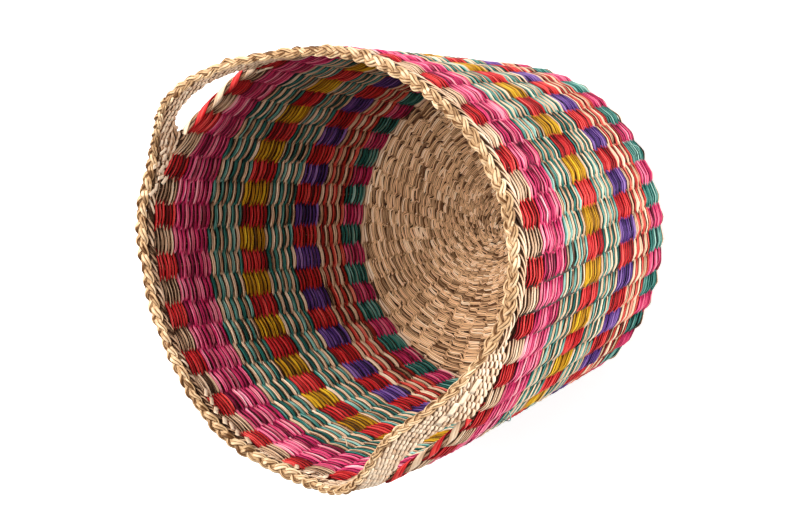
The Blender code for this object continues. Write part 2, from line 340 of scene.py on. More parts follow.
CUT_END_TONE = 1
FOLD_HALF_LENGTH = 7.2 * MM
FOLD_HALF_WIDTH = 4.2 * MM
FOLD_TONE = 0.85
PATCH_POINTS = 5
PATCH_THICKNESS = 0.4 * MM

# Loose straws: dye, direction, height in millimetres, and side of the wall
STRAYS = (
    ("teal", -172, 262, 1),
    ("teal", -98, 30, 1),
    ("natural", 150, 130, -1),
    ("natural", 128, 250, -1),
)
STRAY_SHARES = np.linspace(0, 1, 12)
STRAY_REACH = 0.07
STRAY_CLIMB = 6 * MM
STRAY_LEVEL = 3.5
STRAY_ARCH = 6
STRAY_HALF_WIDTH = 0.7 * MM
STRAY_THICKNESS = 0.35 * MM
STRAY_TONES = (0.5, 0.9)

# Bands from the base up: name, lowest and highest edge, rows, and the colours of
# the rows from the bottom in turn
BANDS = (
    ("h", 6.6, 43.3, 12, ("pink", "teal")),
    ("g", 43.3, 88.6, 12, ("salmon", "salmon", "natural", "natural")),
    ("f", 88.6, 129.4, 14, ("purple", "red")),
    ("e", 129.4, 176, 16, ("natural", "teal", "teal", "natural")),
    ("d", 176, 215, 14, ("red", "yellow")),
    ("c", 215, 263.5, 16, ("teal", "natural", "natural", "teal")),
    ("b", 263.5, 311.8, 16, ("pink", "pink", "rose", "pink", "pink", "pink", "pink", "rose")),
    ("a", 311.8, 334, 12, ("red", "natural")),
)

# Straw colours: dark, middle and light, and where the middle lies between them
DYES = {
    "natural": ((0.045, 0.018, 0.008), (0.60, 0.36, 0.21), (0.95, 0.78, 0.58), 0.26),
    "straw": ((0.11, 0.045, 0.015), (0.46, 0.28, 0.14), (0.82, 0.62, 0.40), 0.36),
    "tan": ((0.12, 0.048, 0.018), (0.90, 0.54, 0.28), (1.0, 0.80, 0.56), 0.6),
    "red": ((0.040, 0.001, 0.001), (0.50, 0.005, 0.009), (0.93, 0.12, 0.10), 0.44),
    "salmon": ((0.06, 0.002, 0.002), (0.56, 0.032, 0.020), (0.94, 0.32, 0.23), 0.42),
    "pink": ((0.06, 0.001, 0.010), (0.62, 0.020, 0.115), (0.96, 0.38, 0.49), 0.44),
    "rose": ((0.16, 0.010, 0.026), (0.72, 0.12, 0.20), (0.98, 0.62, 0.64), 0.40),
    "teal": ((0.001, 0.011, 0.009), (0.014, 0.155, 0.125), (0.38, 0.62, 0.53), 0.42),
    "yellow": ((0.05, 0.018, 0.001), (0.46, 0.20, 0.003), (0.92, 0.62, 0.03), 0.42),
    "purple": ((0.005, 0.002, 0.015), (0.075, 0.022, 0.180), (0.36, 0.20, 0.50), 0.42),
}
DARKEST_TONE = 0.02

# The straw's surface: noise along it, across it and from straw to straw, how much the
# noise changes the tone, the painted shade that darkens the straws' edges where they
# meet, and the gloss and grooves
FIBRE_SCALE = (60, 1300, 40)
FIBRE_DETAIL = 3
STREAK_SCALE = (40, 420, 90)
STREAK_DETAIL = 2
NOISE_WEIGHT = 0.8
# painted shade in the creases: how sharply and how far the tone darkens towards a straw's edges
CREASE_SHADE_POWER = 3
CREASE_SHADE_WEIGHT = 0.8
ROUGHNESS = (0.38, 0.6)
SPECULAR = 0.12
GROOVE_STRENGTH = 0.5
GROOVE_DEPTH = 0.3 * MM

# Seeds of the random draws
STAKE_SEED = 7
PLAIT_SEED = 31
BORDER_SEED = 43
STRAY_SEED = 77
WALL_SEED = 100
BASE_SEED = 500
BEND_SEED = 600
PANEL_SEED = 700

# The studio.  Lamps: name, direction, distance, size, power.
LAMPS = (
    ("key", (0.56, -0.06, 0.83), 1.9, 0.6, 43),
    ("side", (-0.52, -0.84, 0.12), 1.8, 0.6, 33),
    ("top", (0.08, -0.12, 0.98), 1.7, 0.6, 18),
    ("back", (0.1, 0.95, 0.45), 1.9, 1.2, 5),
)
LAMP_TARGET = Vector((0, 0, 0.2))
FILL_COLOUR = (1, 0.985, 0.96, 1)
FILL_STRENGTH = 0.23
WHITE = (1, 1, 1, 1)
PAPER_COLOUR = (0.8, 0.8, 0.8, 1)
PAPER_GLOW = 0.62
FLOOR_HALF = 12

# The camera, fitted to the photo: lens and sensor in millimetres, place and directions
CAMERA_LENS = 77.4
CAMERA_SENSOR = 36
CAMERA_PLACE = (-0.31845, -0.74203, 1.57572)
CAMERA_RIGHT = (-0.5200, -0.6928, -0.4997)
CAMERA_FORWARD = (0.1968, 0.4721, -0.8593)


def unit(vectors):
    return vectors / np.linalg.norm(vectors, axis=-1, keepdims=True)


def length_along(line):
    """Length of a line from its start to each of its points."""
    return np.concatenate(([0], np.cumsum(np.linalg.norm(np.diff(line, axis=0), axis=1))))


def swell(angle, at, spread):
    """1 in one direction, fading to 0 round the basket."""
    turned = (angle - at + math.pi) % TURN - math.pi
    return np.exp(-((turned / spread) ** 2))


def wall_radius(angle, height):
    share = height / RIM_HEIGHT
    dents = sum((low + (high - low) * share) * swell(angle, at, spread) for at, spread, low, high in DENTS)
    curled = np.clip((height - CURL_START) / (RIM_HEIGHT - CURL_START), 0, 1) ** CURL_POWER
    curls = curled * sum(shift * swell(angle, at, spread) for at, spread, shift in CURLS)
    taper = BASE_RADIUS + (RIM_RADIUS - BASE_RADIUS) * share
    bulge = WALL_BULGE * 4 * share * (1 - share)
    oval = BASE_OVAL * (1 - share) * np.cos(2 * (angle - OVAL_DIRECTION))
    oval = oval + RIM_OVAL * share * np.cos(2 * angle)
    return taper + bulge + oval + RIM_SWELL * share * np.cos(3 * (angle - SWELL_DIRECTION)) + dents - curls


def around(loop_angle, angle):
    """Length along the rim from the middle of a loop."""
    return ((angle - loop_angle + math.pi) % TURN - math.pi) * RIM_RADIUS


def arch_share(angle, loop):
    """1 at the middle of a loop, fading to 0 at its feet."""
    away = around(loop.at, angle)
    away = np.minimum(np.abs(away) / np.where(away < 0, loop.before, loop.after), 1)
    return ((1 + np.cos(math.pi * away)) / 2) ** loop.peak


def rise(angle):
    return sum(loop.rise * arch_share(angle, loop) for loop in LOOPS)


def lean(angle):
    return sum(loop.lean * arch_share(angle, loop) for loop in LOOPS)


def beside_loops(angle):
    """1 where the rim is plain, 0 where a loop rises from it."""
    return 1 - np.clip(LOOP_FOOT_RATE * sum(arch_share(angle, loop) for loop in LOOPS), 0, 1)


def lift(angle, height):
    """How far the worn rim stands above or below its even level."""
    sagged = sum(lifted * swell(angle, at, spread) for at, spread, lifted in SAGS)
    sagged = sagged * np.clip(height / RIM_HEIGHT, 0, 1) ** SAG_POWER
    near_top = np.clip((height - DIP_START) / (DIP_END - DIP_START), 0, 1)
    near_top = near_top * (1 - np.clip((height - BORDER_TOP) / DIP_FADE, 0, 1))
    return sagged - near_top * sum(drop * swell(angle, at, spread) for at, spread, drop in DIPS)


def surface(angle, height):
    """Point, outward normal and upward tangent of the basket where the stakes stand."""
    angle, height = np.broadcast_arrays(np.asarray(angle, float), np.asarray(height, float))
    above = np.maximum(height - WALL_TOP, 0)
    tilt = lean(angle)
    radius = wall_radius(angle, height) - above * np.sin(tilt)
    level = np.minimum(height, WALL_TOP) + above * np.cos(tilt) + lift(angle, height)
    tilt = tilt * np.clip(above / LEAN_START, 0, 1)
    c, s, z = np.cos(angle), np.sin(angle), np.zeros_like(angle)
    point = np.stack((radius * c, radius * s, level), -1)
    normal = np.stack((c * np.cos(tilt), s * np.cos(tilt), np.sin(tilt)), -1)
    up = np.stack((-c * np.sin(tilt), -s * np.sin(tilt), np.cos(tilt)), -1)
    return point, normal, up


def plait_underside(angle):
    return BORDER_TOP + PLAIT_GAP + rise(angle)


def stake_angle(index, height):
    return (index + STAKE_SHIFT) * COLUMN + STAKE_LEAN * (1 - height / RIM_HEIGHT)


class Straws:
    """Gathers straws into one mesh."""

    # The section of a straw: places across it and through it, and how near an edge each is, which sets its
    # painted shade
    ACROSS = np.array((1, 0.66, 0, -0.66, -1, -0.66, 0, 0.66))
    CROWN = np.array((0, 0.78, 1, 0.78, 0, -0.78, -1, -0.78))
    EDGE_SHADE = np.array((1, 0.5, 0, 0.5, 1, 0.5, 0, 0.5))
    CAP = np.array(((0, 1, 2, 7), (2, 3, 6, 7), (3, 4, 5, 6)))
    RING = len(ACROSS)

    # Steps in a straw's own coordinates, so that its back and the next straw look different
    BACK_STEP = 4 * MM
    STRAW_STEP = 0.37

    def __init__(self):
        self.points, self.faces, self.tones, self.coords, self.edges = [], [], [], [], []
        self.count = 0
        self.straws = 0

    def add(self, centre, normal, width, thickness, tone, closed=False, twist=0, aside=0):
        """One straw: its centre line, the side it shows, half its width and thickness."""
        count = len(centre)
        twist, aside, width, thickness, tone = (
            np.broadcast_to(np.asarray(value, float), count)[:, None]
            for value in (twist, aside, width, thickness, tone)
        )
        side, normal = self.directions(centre, normal, twist, closed)
        across = self.ACROSS * width
        out = normal[:, None] * (self.CROWN * thickness)[..., None]
        points = centre[:, None] + side[:, None] * (across + aside)[..., None] + out
        self.points.append(points.reshape(-1, 3))
        self.faces.append(self.quads(count, closed) + self.count)
        self.tones.append(np.repeat(tone[:, 0], self.RING))
        self.coords.append(self.own_coordinates(centre, across))
        self.edges.append(np.tile(self.EDGE_SHADE, count))
        self.count += count * self.RING
        self.straws += 1

    @staticmethod
    def directions(centre, normal, twist, closed):
        """Unit vectors across the straw and out of it, all along its centre line."""
        if closed:
            tangent = unit(np.roll(centre, -1, 0) - np.roll(centre, 1, 0))
        else:
            tangent = unit(np.gradient(centre, axis=0))
        side = unit(np.cross(normal, tangent))
        normal = np.cross(tangent, side)
        turned = side * np.cos(twist) + normal * np.sin(twist)
        return turned, normal * np.cos(twist) - side * np.sin(twist)

    def quads(self, count, closed):
        """The faces between a straw's rings, and its two caps where it is open."""
        rows = np.arange(count if closed else count - 1)[:, None] * self.RING
        after = (rows + self.RING) % (count * self.RING)
        here = np.arange(self.RING)
        beside = (here + 1) % self.RING
        sides = np.stack((rows + here, rows + beside, after + beside, after + here), -1).reshape(-1, 4)
        if closed:
            return sides
        return np.vstack((sides, self.CAP[:, ::-1], self.CAP + (count - 1) * self.RING))

    def own_coordinates(self, centre, across):
        """Where each point lies along and across its straw, and which straw that is."""
        coords = np.stack((
            np.broadcast_to(length_along(centre)[:, None], across.shape),
            across + np.where(self.CROWN < 0, self.BACK_STEP, 0),
            np.full(across.shape, self.straws * self.STRAW_STEP),
        ), -1)
        return coords.reshape(-1, 3)

    def add_pair(self, centre, normal, width, thickness, tones, closed=False, twist=0):
        """Two straws side by side, as wide together as one strand."""
        for side, tone in zip((1, -1), tones):
            self.add(centre, normal, 0.5 * width, thickness, tone, closed, twist, side * 0.5 * width)


def place(name, data):
    """A new object in the scene."""
    made = bpy.data.objects.new(name, data)
    bpy.context.scene.collection.objects.link(made)
    return made


def make_mesh(name, straws):
    points = np.concatenate(straws.points)
    quads = np.concatenate(straws.faces)
    mesh = bpy.data.meshes.new(name)
    mesh.vertices.add(len(points))
    mesh.vertices.foreach_set("co", points.astype(np.float32).ravel())
    mesh.loops.add(quads.size)
    mesh.loops.foreach_set("vertex_index", quads.astype(np.int32).ravel())
    mesh.polygons.add(len(quads))
    mesh.polygons.foreach_set("loop_start", np.arange(0, quads.size, 4, dtype=np.int32))
    mesh.polygons.foreach_set("use_smooth", np.ones(len(quads), bool))
    mesh.update(calc_edges=True)
    tones = np.concatenate(straws.tones).astype(np.float32)
    coords = np.concatenate(straws.coords).astype(np.float32)
    edges = np.concatenate(straws.edges).astype(np.float32)
    mesh.attributes.new("tone", "FLOAT", "POINT").data.foreach_set("value", tones)
    # the edge attribute carries the painted shade of the creases to the material
    mesh.attributes.new("edge", "FLOAT", "POINT").data.foreach_set("value", edges)
    mesh.attributes.new("straw", "FLOAT_VECTOR", "POINT").data.foreach_set("vector", coords.ravel())
    return mesh


def make_piece(name, straws, dye, replaced):
    """The gathered straws as one object that stands for the CAD nodes."""
    mesh = make_mesh(name, straws)
    mesh.materials.append(straw_material(dye))
    made = place(name, mesh)
    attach(made, "root")
    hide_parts(*replaced)


def attribute(tree, name, output):
    node = tree.nodes.new("ShaderNodeAttribute")
    node.attribute_name = name
    return node.outputs[output]


def straw_noise(tree, straw, stretch, detail):
    """Noise on the straw's own coordinates: along it, across it, from straw to straw."""
    mapping = tree.nodes.new("ShaderNodeMapping")
    mapping.inputs["Scale"].default_value = stretch
    tree.links.new(straw, mapping.inputs["Vector"])
    texture = tree.nodes.new("ShaderNodeTexNoise")
    texture.inputs["Scale"].default_value = 1
    texture.inputs["Detail"].default_value = detail
    tree.links.new(mapping.outputs["Vector"], texture.inputs["Vector"])
    return texture.outputs["Fac"]


def maths(tree, kind, first, second):
    node = tree.nodes.new("ShaderNodeMath")
    node.operation = kind
    for socket, value in zip(node.inputs, (first, second)):
        if isinstance(value, (int, float)):
            socket.default_value = value
        else:
            tree.links.new(value, socket)
    return node.outputs[0]


def dye_ramp(tree, dye, tone):
    """Colour of a dye at a tone from 0, dark, to 1, light."""
    ramp = tree.nodes.new("ShaderNodeValToRGB")
    dark, middle, light, middle_tone = DYES[dye]
    stops = ramp.color_ramp.elements
    stops[0].position = DARKEST_TONE
    stops[0].color = (*dark, 1)
    stops[1].position = 1
    stops[1].color = (*light, 1)
    stops.new(middle_tone).color = (*middle, 1)
    tree.links.new(tone, ramp.inputs["Fac"])
    return ramp.outputs["Color"]


def straw_tone(tree, fibre, streak):
    """The straw's own tone, changed by its fibres and blotches, with painted shade at its edges where
    straws meet.
    """
    tone = attribute(tree, "tone", "Fac")
    for noise in (fibre, streak):
        around_zero = maths(tree, "SUBTRACT", noise, 0.5)
        tone = maths(tree, "ADD", tone, maths(tree, "MULTIPLY", around_zero, NOISE_WEIGHT))
    # painted shade: the tone darkens towards the straw's edges, where the creases between straws lie
    edge = maths(tree, "POWER", attribute(tree, "edge", "Fac"), CREASE_SHADE_POWER)
    return maths(tree, "SUBTRACT", tone, maths(tree, "MULTIPLY", edge, CREASE_SHADE_WEIGHT))


def add_gloss_and_grooves(tree, shader, fibre):
    """Roughness and fine grooves that follow the fibres."""
    rough = tree.nodes.new("ShaderNodeMapRange")
    rough.inputs["To Min"].default_value = ROUGHNESS[0]
    rough.inputs["To Max"].default_value = ROUGHNESS[1]
    tree.links.new(fibre, rough.inputs["Value"])
    tree.links.new(rough.outputs["Result"], shader.inputs["Roughness"])
    shader.inputs["Specular IOR Level"].default_value = SPECULAR
    bump = tree.nodes.new("ShaderNodeBump")
    bump.inputs["Strength"].default_value = GROOVE_STRENGTH
    bump.inputs["Distance"].default_value = GROOVE_DEPTH
    tree.links.new(fibre, bump.inputs["Height"])
    tree.links.new(bump.outputs["Normal"], shader.inputs["Normal"])


def straw_material(dye):
    """Dyed straw: a tone for each straw, fibres along it, blotches and fine grooves."""
    name = f"straw_{dye}"
    made = bpy.data.materials.get(name)
    if made:
        return made
    made = bpy.data.materials.new(name)
    made.use_nodes = True
    tree = made.node_tree
    shader = tree.nodes["Principled BSDF"]
    straw = attribute(tree, "straw", "Vector")
    fibre = straw_noise(tree, straw, FIBRE_SCALE, FIBRE_DETAIL)
    streak = straw_noise(tree, straw, STREAK_SCALE, STREAK_DETAIL)
    colour = dye_ramp(tree, dye, straw_tone(tree, fibre, streak))
    tree.links.new(colour, shader.inputs["Base Color"])
    add_gloss_and_grooves(tree, shader, fibre)
    return made


def draw_floats(draw, weave, columns):
    """How each float of a row strays from its weave."""
    return Floats(
        reach=draw.uniform(*REACH_RANGE, columns),
        slip=draw.normal(0, weave.slip, columns),
        slant=draw.normal(1, SLANT_SPREAD, columns),
        width=draw.uniform(*WIDTH_RANGE, columns),
        turn=draw.normal(0, TURN_SPREAD, columns),
        tone=draw.normal(FLOAT_TONE, weave.spread, columns),
        contrast=draw.normal(0, PAIR_SPREAD * weave.spread, columns),
    )


def weave_row(straws, seed, columns, passes, station, weave):
    """One closed row that lies outside the columns whose number has the parity it passes."""
    draw = np.random.default_rng(seed)
    index = np.repeat(np.arange(columns), STEPS)
    share = np.tile(FLOAT_SHARES, columns)
    edges = draw.normal(0, weave.jitter, columns)
    edges = np.append(edges, edges[0])
    at = index - 0.5 + share + edges[index] * (1 - share) + edges[index + 1] * share
    point, normal, up = station(at)
    out = (index % 2) == passes
    hump = np.where(out, np.tile(OUTSIDE_HUMPS, columns), np.tile(INSIDE_HUMPS, columns))
    full = np.minimum(WIDENING_RATE * hump, 1)
    each = Floats(*(values[index] for values in draw_floats(draw, weave, columns)))
    reach = np.where(out, weave.outside, -weave.inside) * each.reach
    slip = each.slip * np.minimum(SLIP_RATE * hump, 1)
    slant = each.slant * weave.slant * np.tile(SLANTS, columns)
    centre = point + normal * (reach * hump)[:, None] + up * (weave.pitch * (slip + slant))[:, None]
    width = weave.pitch * (weave.fill - DIVE_NARROWING * (1 - full)) * each.width
    thickness = weave.thick + (weave.thin - weave.thick) * full
    # painted shade: a float is darker where it dives behind a stake
    # painted shade: where the weave has it, floats inside the wall are darker than the same straws outside
    first = each.tone - DIVE_PAINTED_SHADE * (1 - full) - weave.shade * ~out
    tones = [np.clip(tone, 0, 1) for tone in (first, first + each.contrast)]
    straws.add_pair(centre, normal, width, thickness, tones, True, each.turn * hump)


def band_height(name, low, high, share):
    """Height of a row of a band, as a function of the direction."""
    extra = TOP_BAND_RISE if name == TOP_BAND else 0

    def height(angle):
        return low + (high + extra * beside_loops(angle) - low) * share
    return height


def wall_station(height_of):
    """Places on the wall at the height that a function gives for each direction."""
    def station(at):
        height = height_of(stake_angle(at, 0.5 * RIM_HEIGHT))
        angle = stake_angle(at, height)
        return surface(angle, height_of(angle))
    return station


def build_wall():
    seed = WALL_SEED
    for name, low, high, count, colours in BANDS:
        gathered = {colour: Straws() for colour in colours}
        low, high = low * MM, high * MM
        weave = WALL_WEAVE._replace(pitch=(high - low) / count)
        if name == TOP_BAND:
            weave = weave._replace(**TOP_BAND_STRAW)
        for row in range(count):
            station = wall_station(band_height(name, low, high, (row + 0.5) / count))
            colour = colours[row % len(colours)]
            # painted shade for band a's undyed straw where it shows inside
            shaded = name == TOP_BAND and colour == "natural"
            weave = weave._replace(shade=TOP_BAND_SHADE if shaded else 0)
            weave_row(gathered[colour], seed, STAKE_COUNT, (row + 1) % 2, station, weave)
            seed += 1
        nodes = [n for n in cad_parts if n.startswith(f"weft_{name}")]
        for colour, straws in gathered.items():
            make_piece(f"weave_{name}_{colour}", straws, colour, [n for n in nodes if n.endswith(colour)])


def base_station(share, columns):
    """Rows of the flat base, at a share of the way from its centre to its bend."""
    def station(at):
        angle = stake_angle(at * STAKE_COUNT / columns, BEND_TOP)
        radius = (wall_radius(angle, BEND_TOP) - BEND_RADIUS) * share
        c, s, z = np.cos(angle), np.sin(angle), np.zeros_like(angle)
        point = np.stack((radius * c, radius * s, z + SPOKE_LEVEL), -1)
        return point, np.stack((z, z, z - 1), -1), np.stack((c, s, z), -1)
    return station


def bend_station(turned):
    """Rows round the bend between the base and the wall."""
    def station(at):
        angle = stake_angle(at, BEND_TOP)
        c, s, z = np.cos(angle), np.sin(angle), np.zeros_like(angle)
        radius = wall_radius(angle, BEND_TOP) - BEND_RADIUS * (1 - math.sin(turned))
        level = SPOKE_LEVEL + BEND_RADIUS * (1 - math.cos(turned))
        out, down = math.sin(turned), -math.cos(turned)
        point = np.stack((radius * c, radius * s, z + level), -1)
        normal = np.stack((out * c, out * s, z + down), -1)
        return point, normal, np.stack((-down * c, -down * s, z + out), -1)
    return station


def add_hub(straws):
    """The straw that winds out of the centre of the base."""
    turned = np.linspace(0, HUB_TURNS * TURN, HUB_POINTS)
    radius = HUB_START + HUB_PITCH * turned / TURN
    level = np.full(HUB_POINTS, SPOKE_LEVEL)
    centre = np.stack((radius * np.cos(turned), radius * np.sin(turned), level), -1)
    straws.add(centre, np.array((0, 0, 1.0)), HUB_HALF_WIDTH, HUB_THICKNESS, HUB_TONE)


def build_base():
    middle, outer, edge = Straws(), Straws(), Straws()
    for row in range(1, BASE_ROWS):
        share = (row + 0.5) / BASE_ROWS
        columns = next(columns for reach, columns in BASE_COLUMNS if share < reach)
        target = middle if share < BASE_MIDDLE else outer
        weave_row(target, BASE_SEED + row, columns, row % 2, base_station(share, columns), BASE_WEAVE)
    add_hub(middle)
    for row, (turned, outside) in enumerate(BENDS):
        weave = BEND_WEAVE._replace(outside=outside)
        weave_row(edge, BEND_SEED + row, STAKE_COUNT, row % 2, bend_station(turned), weave)
    make_piece("base_rows_middle", middle, "tan", ["base_weave_inside"])
    make_piece("base_rows_outer", outer, "tan", ["base_weave_outside"])
    make_piece("base_edge_rows", edge, "natural", ["base_edge_row"])


def stake_top(angle):
    """Where a stake ends: under the rim, or at the wall's top below a hand hole."""
    under_hole = any(abs(around(loop.hole_at, angle)) < loop.hole_half for loop in LOOPS)
    return WALL_TOP + STAKE_OVER_WALL if under_hole else BORDER_TOP


def stake_path(index):
    """A stake from the hub along the base, round the bend and up the wall."""
    turned = np.concatenate((np.zeros(SPOKE_POINTS), np.linspace(0, math.pi / 2, BEND_POINTS)[1:-1]))
    angle = stake_angle(index, BEND_TOP)
    out = np.array((math.cos(angle), math.sin(angle), 0))
    flat = wall_radius(angle, BEND_TOP) - BEND_RADIUS
    bent = flat + BEND_RADIUS * np.sin(turned[SPOKE_POINTS:])
    radius = np.concatenate((np.linspace(SPOKE_START, flat, SPOKE_POINTS), bent))
    level = SPOKE_LEVEL + BEND_RADIUS * (1 - np.cos(turned))
    foot = np.outer(radius, out) + np.outer(level, (0, 0, 1))
    below = np.outer(np.sin(turned), out) - np.outer(np.cos(turned), (0, 0, 1))
    height = np.linspace(BEND_TOP, stake_top(stake_angle(index, WALL_TOP)), STAKE_POINTS)
    wall, normal, _ = surface(stake_angle(index, height), height)
    half = np.clip(radius * SPOKE_WIDENING, SPOKE_HALF_WIDTH, STAKE_HALF_WIDTH)
    half = np.append(half, np.full(STAKE_POINTS, STAKE_HALF_WIDTH))
    return np.vstack((foot, wall)), np.vstack((below, normal)), half


def build_stakes():
    """The hidden uprights, dark as painted shade, and the dark thin sheet of painted shade between them
    that closes the wall.
    """
    straws, shade_sheet = Straws(), Straws()
    draw = np.random.default_rng(STAKE_SEED)
    for index in range(STAKE_COUNT):
        path, facing, half = stake_path(index)
        # the stakes are drawn dark as painted shade
        straws.add(path, facing, half, STAKE_THICKNESS, draw.uniform(*STAKE_SHADE_TONES))
        # a dark sheet between the stakes, painted shade seen through the gaps of the weave
        reach = np.hypot(path[:, 0], path[:, 1]) * COLUMN * SHADE_SHEET_SHARE
        shade_sheet.add(path, facing, reach, SHADE_SHEET_THICKNESS, SHADE_SHEET_TONE)
    make_piece("stakes", straws, "natural", ["stake_frame"])
    make_piece("stake_filler", shade_sheet, "natural", ["stake_frame"])


# The line of the braid at even steps: share of the way round, number of patterns in all,
# point, outward and upward directions, and size
PlaitLine = namedtuple("PlaitLine", "turns periods point out up size")


def plait_line():
    fine = np.linspace(0, TURN, PLAIT_SAMPLES)
    length = length_along(surface(fine, plait_underside(fine) + PLAIT_LEVEL)[0])
    periods = round(length[-1] / PLAIT_PERIOD)
    turns = np.arange(periods * PLAIT_STEPS) / (periods * PLAIT_STEPS)
    angle = np.interp(turns * length[-1], length, fine)
    point, out, up = surface(angle, plait_underside(angle) + PLAIT_LEVEL)
    return PlaitLine(turns, periods, point, out, up, PLAIT_SIZE + PLAIT_GAIN * beside_loops(angle))


def add_strand(straws, draw, line, strand):
    """One of the strands, which pass over each other in lobes."""
    phase = line.turns * line.periods * TURN + strand * TURN / STRANDS
    lobes = 2 * line.periods
    knots = np.append(draw.normal(0, 1, STRAND_KNOTS), 0)
    wander = STRAND_WANDER * np.interp(line.turns, np.linspace(0, 1, STRAND_KNOTS + 1), knots)
    lateral = (STRAND_SWING * np.sin(phase) + wander) * line.size
    over = STRAND_RISE * np.sin(2 * phase) * line.size
    centre = line.point + line.out * lateral[:, None] + line.up * over[:, None]
    roll = STRAND_ROLL * np.sin(phase)
    normal = line.up * np.cos(roll)[:, None] + line.out * np.sin(roll)[:, None]
    lobe = np.floor(phase / math.pi - LOBE_START).astype(int) % lobes
    width = STRAND_HALF_WIDTH + STRAND_BULGE * np.sin(2 * phase)
    width = width * draw.uniform(*LOBE_WIDTHS, lobes)[lobe] * line.size
    first = draw.normal(LOBE_TONE, LOBE_TONE_SPREAD, lobes)
    second = first + draw.normal(0, LOBE_TONE_SPREAD, lobes)
    tones = [np.clip(tone, *LOBE_TONE_LIMITS)[lobe] for tone in (first, second)]
    thickness = STRAND_THICKNESS * line.size
    straws.add_pair(centre, normal, width, thickness, tones, True, STRAND_TWIST * np.cos(phase))


def build_plait():
    """The flat braid that runs round the rim and over both loops."""
    straws = Straws()
    draw = np.random.default_rng(PLAIT_SEED)
    line = plait_line()
    for strand in range(STRANDS):
        add_strand(straws, draw, line, strand)
    half_width, thickness = CORE_HALF_WIDTH * line.size, CORE_THICKNESS * line.size
    straws.add(line.point, line.up, half_width, thickness, CORE_TONE, True)
    make_piece("rim_braid", straws, "straw", ["rim_plait"])


def add_leaf(straws, angle, height, level, facing, half_width, tone):
    """A short straw that lies on one face of the basket and dives in at both ends."""
    point, normal, _ = surface(angle, height)
    dive = np.sin(math.pi * np.linspace(*LEAF_ENDS, len(angle))) ** LEAF_POWER
    centre = point + normal * (facing * level * dive)[:, None]
    half_width = half_width * (LEAF_TIP + (1 - LEAF_TIP) * dive)
    # painted shade: the leaf darkens towards its ends where it dives in
    straws.add(centre, normal * facing, half_width, LEAF_THICKNESS, tone - LEAF_PAINTED_SHADE * (1 - dive))


def add_patch(straws, spot, facing, half_length, half_width, tone):
    """A short flat piece of straw on one face of the basket."""
    direction, height, level, turn = spot
    point, normal, up = surface(direction * DEGREE, height * MM)
    along = np.cross(up, normal) * math.cos(turn * DEGREE) + up * math.sin(turn * DEGREE)
    reach = np.outer(np.linspace(-half_length, half_length, PATCH_POINTS), along)
    centre = point + normal * (facing * level * MM) + reach
    straws.add(centre, normal * facing, half_width, PATCH_THICKNESS, tone)


def drawn(draw, span):
    """A number drawn from a span, or the number itself where there is no span."""
    return draw.uniform(*span) if isinstance(span, tuple) else span


def add_folded_end(straws, draw, start, end):
    reach = draw.uniform(*end.reaches) * COLUMN
    angle = start - end.facing * reach * (END_SHARES - 0.5)
    height = (END_TOP - draw.uniform(*end.drops) * END_SHARES) * MM + rise(angle)
    tone = np.clip(draw.normal(end.tone, end.spread), *end.limits)
    level = drawn(draw, end.level) * MM
    add_leaf(straws, angle, height, level, end.facing, draw.uniform(*end.half_widths) * MM, tone)


def build_borders():
    """Stakes' ends folded over the rim: slanted straws outside, cut ends inside."""
    back, front = Straws(), Straws()
    draw = np.random.default_rng(BORDER_SEED)
    for number in range(ENDS_PER_STAKE * STAKE_COUNT):
        start = stake_angle(number / ENDS_PER_STAKE, BORDER_TOP)
        if beside_loops(start) >= PLAIN_RIM:
            target = back if start % TURN < math.pi else front
            add_folded_end(target, draw, start, OUTER_END)
            add_folded_end(target, draw, start, INNER_END)
    angle = np.linspace(0, TURN, STRAP_POINTS, endpoint=False)
    point, normal, _ = surface(angle, BORDER_TOP - STRAP_DROP + rise(angle))
    back.add(point, normal, STRAP_HALF_WIDTH, STRAP_THICKNESS, STRAP_TONE, True)
    for spot in CUT_ENDS:
        half_width = draw.uniform(*CUT_END_HALF_WIDTHS) * MM
        add_patch(back, spot, -1, CUT_END_HALF_LENGTH, half_width, CUT_END_TONE)
    for spot in STUBS:
        half_width = draw.uniform(*STUB_HALF_WIDTHS) * MM
        add_patch(back, spot, -1, STUB_HALF_LENGTH, half_width, STUB_TONE)
    for spot in FOLDS:
        add_patch(front, spot, 1, FOLD_HALF_LENGTH, FOLD_HALF_WIDTH, FOLD_TONE)
    make_piece("tucked_ends_back", back, "natural", ["tucked_border_back"])
    make_piece("tucked_ends_front", front, "natural", ["tucked_border_front"])


def hole_top(loop, angle):
    """Height of the hand hole's upper edge, or the wall's top beside the hole."""
    away = np.clip(np.abs(around(loop.hole_at, angle)) / loop.hole_half, 0, 1)
    inside = WALL_TOP + ROPE_HEIGHT + loop.hole_height * (1 - away ** 2) ** HOLE_ARCH_POWER
    return np.where(away >= 1, WALL_TOP, inside)


def runs(inside):
    """Start and end of each unbroken run where something holds, without the short ones."""
    edges = np.flatnonzero(np.diff(np.concatenate(([0], inside.astype(int), [0]))))
    return [(start, end) for start, end in zip(edges[::2], edges[1::2]) if end - start >= SHORTEST_RUN]


def add_layer(straws, loop, first, last):
    """The dark layer inside a loop's panel, left out where the hand hole is."""
    for row in range(LAYER_ROWS):
        angle = np.arange(first, last, PANEL_CELL / 4)
        height = plait_underside(angle) + LAYER_TOP - (row + 0.5) * LAYER_PITCH
        for start, end in runs(height > hole_top(loop, angle) + LAYER_CLEARANCE):
            point, normal, _ = surface(angle[start:end], height[start:end])
            straws.add(point, normal, LAYER_HALF_WIDTH, LAYER_THICKNESS, LAYER_TONE)


